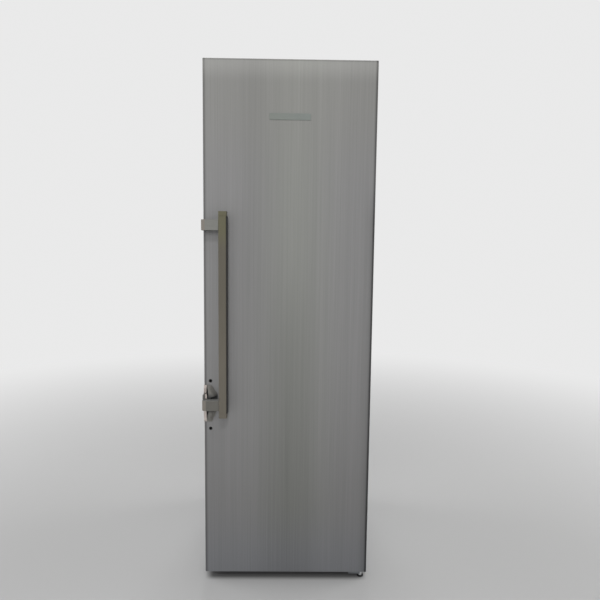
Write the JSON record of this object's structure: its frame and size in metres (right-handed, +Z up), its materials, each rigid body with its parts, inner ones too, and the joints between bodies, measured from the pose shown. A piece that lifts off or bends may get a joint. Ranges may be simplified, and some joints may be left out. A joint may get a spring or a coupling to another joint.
{
  "type": "upright refrigerator",
  "caption": "Tall single-door larder refrigerator with a brushed steel door, lever handle, glass shelves, drawers and door bins.",
  "frame": {"origin": "floor level under the centre of the footprint, which includes the handle in front and the coil behind", "axes": "+Z up, -Y out of the door's front, +X to the right seen from the front, where the door hinges are"},
  "size_m": [0.595, 0.687, 1.855],
  "materials": {
    "cabinet_steel": "silver-grey painted sheet, low sheen",
    "insulation_foam": "rigid polyurethane foam, matt",
    "white_liner": "white moulded polystyrene, satin",
    "galvanised_steel": "galvanised sheet, dull",
    "black_plastic": "black moulded plastic, matt",
    "hinge_steel": "zinc-plated steel",
    "bright_steel": "bright plated steel",
    "grey_plastic": "mid-grey moulded plastic, fine texture",
    "black_enamel": "black stoved enamel",
    "copper_pipe": "drawn copper, dulled",
    "aluminium_plate": "mill-finish aluminium",
    "pale_plastic": "pale grey moulded plastic",
    "display_glass": "black glossy window",
    "button_plastic": "silver-grey moulded plastic",
    "light_diffuser": "opal diffuser",
    "shelf_glass": "clear toughened glass, green edge",
    "clear_plastic": "clear moulded polystyrene",
    "door_steel": "vertical-grain brushed stainless steel",
    "gasket_rubber": "grey soft PVC",
    "badge_metal": "plain satin metal strip, bare",
    "handle_metal": "satin olive-grey metal",
    "arm_metal": "satin die-cast metal, light grey",
    "bracket_metal": "bare die-cast zinc, dull",
    "pin_steel": "blackened steel"
  },
  "bodies": {
    "cabinet": {"outer_cabinet": "cabinet_steel", "rear_panel": "cabinet_steel", "cabinet_insulation": "insulation_foam", "inner_liner": "white_liner", "base_frame": "galvanised_steel", "plinth_grille": "black_plastic", "lower_hinge": "hinge_steel", "upper_hinge": "hinge_steel", "hinge_cover": "grey_plastic", "compressor": "black_enamel", "terminal_box": "black_plastic", "evaporation_tray": "black_plastic", "condenser": "black_enamel", "discharge_pipe": "copper_pipe", "evaporator": "aluminium_plate", "fan_cover": "white_liner", "control_panel": "pale_plastic", "display_lens": "display_glass", "ceiling_light": "light_diffuser", "glass_shelf_1": "shelf_glass", "glass_shelf_2": "shelf_glass", "glass_shelf_3": "shelf_glass", "glass_shelf_4": "shelf_glass", "glass_shelf_5": "shelf_glass", "drawer_cover_glass": "shelf_glass", "bottle_rack": "pale_plastic"},
    "door": {"door_skin": "door_steel", "door_insulation": "insulation_foam", "door_liner": "white_liner", "door_gasket": "gasket_rubber", "door_top_cap": "grey_plastic", "door_bottom_cap": "grey_plastic", "badge_plate": "badge_metal", "bottle_bin": "clear_plastic", "middle_door_bin": "clear_plastic", "upper_door_bin": "clear_plastic", "dairy_bin": "clear_plastic", "upper_bracket": "bracket_metal", "lower_bracket": "bracket_metal", "upper_pivot_pin": "pin_steel", "lower_pivot_pin": "pin_steel", "return_spring": "pin_steel"},
    "handle": {"handle_bar": "handle_metal", "upper_bar_cap": "handle_metal", "lower_bar_cap": "handle_metal", "upper_arm": "arm_metal", "lower_arm": "arm_metal"},
    "pusher": {"pusher": "black_plastic"},
    "dairy_lid": {"dairy_lid": "clear_plastic"},
    "upper_drawer": {"upper_drawer": "clear_plastic"},
    "lower_drawer": {"lower_drawer": "clear_plastic"},
    "power_button": {"power_button": "button_plastic"},
    "colder_button": {"colder_button": "button_plastic"},
    "fast_cool_button": {"fast_cool_button": "button_plastic"},
    "fan": {"circulation_fan": "black_plastic"},
    "front_left_foot": {"front_left_foot": "black_plastic"},
    "front_right_foot": {"front_right_foot": "black_plastic"},
    "bracket_foot": {"bracket_foot": "bright_steel"},
    "rear_left_roller": {"rear_left_roller": "black_plastic"},
    "rear_right_roller": {"rear_right_roller": "black_plastic"}
  },
  "joints": [
    {"name": "door_hinge", "type": "hinge", "parent": "cabinet", "child": "door", "pos_m": [0.2775, -0.2545, 0.938], "axis": [0, 0, 1], "range_deg": [0, 115]},
    {"name": "handle_lever", "type": "hinge", "parent": "door", "child": "handle", "pos_m": [-0.2805, -0.3065, 0.9815], "axis": [0, 0, -1], "range_deg": [0, 12], "stiffness_Nm_per_rad": 6, "springref_deg": -2.86},
    {"name": "pusher_slide", "type": "slide", "parent": "door", "child": "pusher", "axis": [0, 1, 0], "range_m": [0, 0.0033]},
    {"name": "dairy_lid_hinge", "type": "hinge", "parent": "door", "child": "dairy_lid", "pos_m": [0, -0.2159, 1.532], "axis": [1, 0, 0], "range_deg": [0, 85]},
    {"name": "upper_drawer_slide", "type": "slide", "parent": "cabinet", "child": "upper_drawer", "axis": [0, -1, 0], "range_m": [0, 0.2]},
    {"name": "lower_drawer_slide", "type": "slide", "parent": "cabinet", "child": "lower_drawer", "axis": [0, -1, 0], "range_m": [0, 0.15]},
    {"name": "power_button_press", "type": "slide", "parent": "cabinet", "child": "power_button", "axis": [0, 1, 0], "range_m": [0, 0.0012], "stiffness_N_per_m": 500},
    {"name": "colder_button_press", "type": "slide", "parent": "cabinet", "child": "colder_button", "axis": [0, 1, 0], "range_m": [0, 0.0012], "stiffness_N_per_m": 500},
    {"name": "fast_cool_button_press", "type": "slide", "parent": "cabinet", "child": "fast_cool_button", "axis": [0, 1, 0], "range_m": [0, 0.0012], "stiffness_N_per_m": 500},
    {"name": "fan_spin", "type": "hinge", "parent": "cabinet", "child": "fan", "pos_m": [0, 0.25, 1.655], "axis": [0, 1, 0], "continuous": true},
    {"name": "front_left_foot_turn", "type": "hinge", "parent": "cabinet", "child": "front_left_foot", "pos_m": [-0.2455, -0.1955, 0.02], "axis": [0, 0, 1], "continuous": true},
    {"name": "front_right_foot_turn", "type": "hinge", "parent": "cabinet", "child": "front_right_foot", "pos_m": [0.2455, -0.1955, 0.02], "axis": [0, 0, 1], "continuous": true},
    {"name": "bracket_foot_turn", "type": "hinge", "parent": "cabinet", "child": "bracket_foot", "pos_m": [0.2775, -0.2665, 0.02], "axis": [0, 0, 1], "continuous": true},
    {"name": "rear_left_roller_spin", "type": "hinge", "parent": "cabinet", "child": "rear_left_roller", "pos_m": [-0.2575, 0.2775, 0.014], "axis": [1, 0, 0], "continuous": true},
    {"name": "rear_right_roller_spin", "type": "hinge", "parent": "cabinet", "child": "rear_right_roller", "pos_m": [0.2575, 0.2775, 0.014], "axis": [1, 0, 0], "continuous": true}
  ],
  "couplings": [
    {"joint": "pusher_slide", "follows": "handle_lever", "m_per_rad": 0.01575},
    {"joint": "upper_drawer_slide", "follows": "door_hinge", "m_per_rad": 0.0996},
    {"joint": "lower_drawer_slide", "follows": "door_hinge", "m_per_rad": 0.0747}
  ]
}
